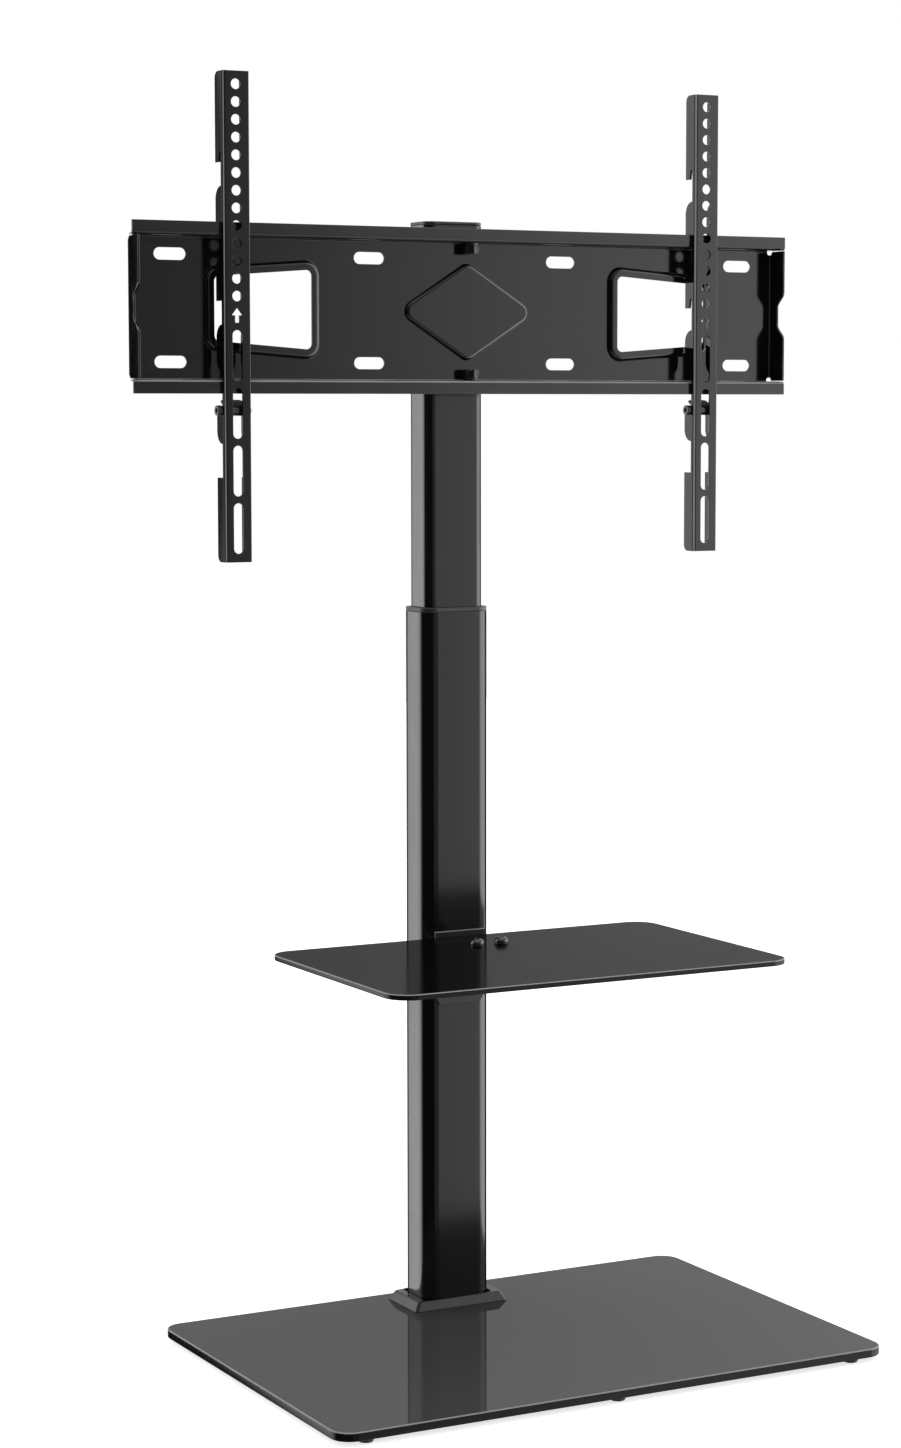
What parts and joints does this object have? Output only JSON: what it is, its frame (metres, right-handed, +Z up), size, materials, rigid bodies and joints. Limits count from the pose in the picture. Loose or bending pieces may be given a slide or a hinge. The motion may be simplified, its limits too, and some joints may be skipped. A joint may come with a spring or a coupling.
{
  "type": "television stand with mount",
  "caption": "Free-standing screen stand with glass base and shelf, telescopic column, swivelling mount plate and hooked arms that slide along it.",
  "frame": {"origin": "on the floor under the middle of the base glass", "axes": "+Z up, +Y to the rear where the column stands, +X to the right seen from the front"},
  "size_m": [0.667, 0.371, 1.1396],
  "materials": {
    "gloss_paint": "black powder coat, semi gloss",
    "satin_paint": "black powder coat, satin",
    "plate_paint": "black enamel, glossy",
    "arm_paint": "black enamel, glossy",
    "smoked_glass": "black tempered glass, polished, with ground edges",
    "collar_plastic": "black moulded cover, glossy",
    "plastic": "black moulded nylon",
    "rubber": "black rubber",
    "steel": "zinc plated",
    "black_steel": "black oxide, satin"
  },
  "bodies": {
    "base": {"base_glass": "smoked_glass", "feet": "rubber", "under_gasket": "rubber", "under_plate": "steel", "base_bolts": "steel", "glass_sleeves": "plastic", "foot_gasket": "rubber", "lower_column": "gloss_paint", "foot_collar": "collar_plastic", "guide_bush": "plastic", "lock_screws": "steel", "lock_washers": "steel", "lock_nut_plate": "steel", "shelf_bracket": "satin_paint", "bracket_screws": "steel", "shelf_nut_plate": "steel", "shelf_gasket": "rubber", "shelf_glass": "smoked_glass", "shelf_bolts": "black_steel", "shelf_washers": "plastic", "shelf_sleeves": "plastic", "shelf_nuts": "steel"},
    "mast": {"mast": "gloss_paint", "mast_cap": "plastic", "guide_plug": "plastic", "swivel_bracket": "satin_paint", "swivel_screws": "steel", "swivel_nut_plate": "steel", "friction_washers": "plastic", "pivot_bolts": "steel", "pivot_washers": "steel", "pivot_nuts": "black_steel"},
    "head": {"mount_plate": "plate_paint"},
    "left_arm": {"left_arm": "arm_paint", "left_cross_bolt": "steel", "left_cross_nut": "steel"},
    "left_latch": {"left_latch": "black_steel"},
    "right_arm": {"right_arm": "arm_paint", "right_cross_bolt": "steel", "right_cross_nut": "steel"},
    "right_latch": {"right_latch": "black_steel"}
  },
  "joints": [
    {"name": "column_height", "type": "slide", "parent": "base", "child": "mast", "axis": [0, 0, 1], "range_m": [-0.1, 0.05]},
    {"name": "head_swivel", "type": "hinge", "parent": "mast", "child": "head", "pos_m": [0, 0.0929, 0.9367], "axis": [0, 0, 1], "range_deg": [-30, 30]},
    {"name": "left_arm_slide", "type": "slide", "parent": "head", "child": "left_arm", "axis": [1, 0, 0], "range_m": [-0.077, 0.1385]},
    {"name": "right_arm_slide", "type": "slide", "parent": "head", "child": "right_arm", "axis": [1, 0, 0], "range_m": [-0.1415, 0.074]},
    {"name": "left_latch_turn", "type": "hinge", "parent": "left_arm", "child": "left_latch", "pos_m": [-0.2385, 0.0852, 0.8481], "axis": [-1, 0, 0], "range_deg": [0, 75]},
    {"name": "right_latch_turn", "type": "hinge", "parent": "right_arm", "child": "right_latch", "pos_m": [0.2415, 0.0852, 0.8481], "axis": [-1, 0, 0], "range_deg": [0, 75]}
  ]
}
